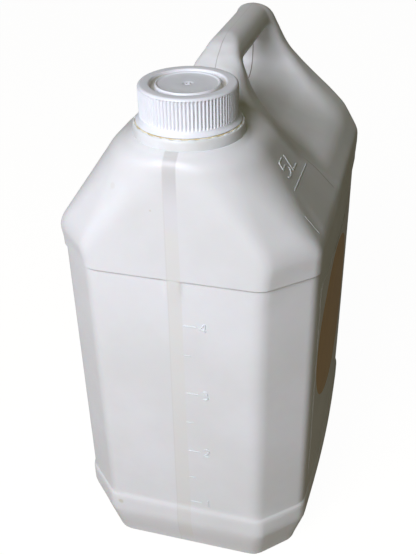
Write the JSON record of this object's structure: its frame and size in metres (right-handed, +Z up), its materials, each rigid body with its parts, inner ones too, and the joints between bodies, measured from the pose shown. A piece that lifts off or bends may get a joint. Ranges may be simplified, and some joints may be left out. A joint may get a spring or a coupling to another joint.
{
  "type": "massage lotion jug",
  "caption": "Tall blow-moulded plastic jug with an offset neck, ribbed screw cap, tamper ring and moulded-in handle, filled with lotion.",
  "frame": {"origin": "middle of the footprint, on the plane that the jug stands on", "axes": "+Z up; -Y towards the front wall with the view stripe, on whose side the neck is; +Y towards the handle; +X across the side walls, towards the labelled side"},
  "size_m": [0.1426, 0.1906, 0.2916],
  "materials": {
    "white_polyethylene": "satin, finely grained, as blown",
    "cap_white": "satin, injection moulded",
    "liner_foam": "matte foamed sheet",
    "ring_white": "satin, injection moulded",
    "label_film": "satin printed film",
    "lotion_cream": "opaque liquid"
  },
  "bodies": {
    "jug": {"jug_body": "white_polyethylene", "tamper_ring": "ring_white", "side_label": "label_film", "lotion": "lotion_cream"},
    "seal": {"sealing_disc": "liner_foam"},
    "cap": {"screw_cap": "cap_white"}
  },
  "joints": [
    {"name": "cap_lift", "type": "slide", "parent": "jug", "child": "seal", "axis": [0, 0, 1], "range_m": [0, 0.009]},
    {"name": "cap_turn", "type": "hinge", "parent": "seal", "child": "cap", "pos_m": [0, -0.06115, 0.28], "axis": [0, 0, 1], "range_deg": [0, 809]}
  ],
  "couplings": [
    {"joint": "cap_lift", "follows": "cap_turn", "m_per_rad": 0.00063662}
  ]
}
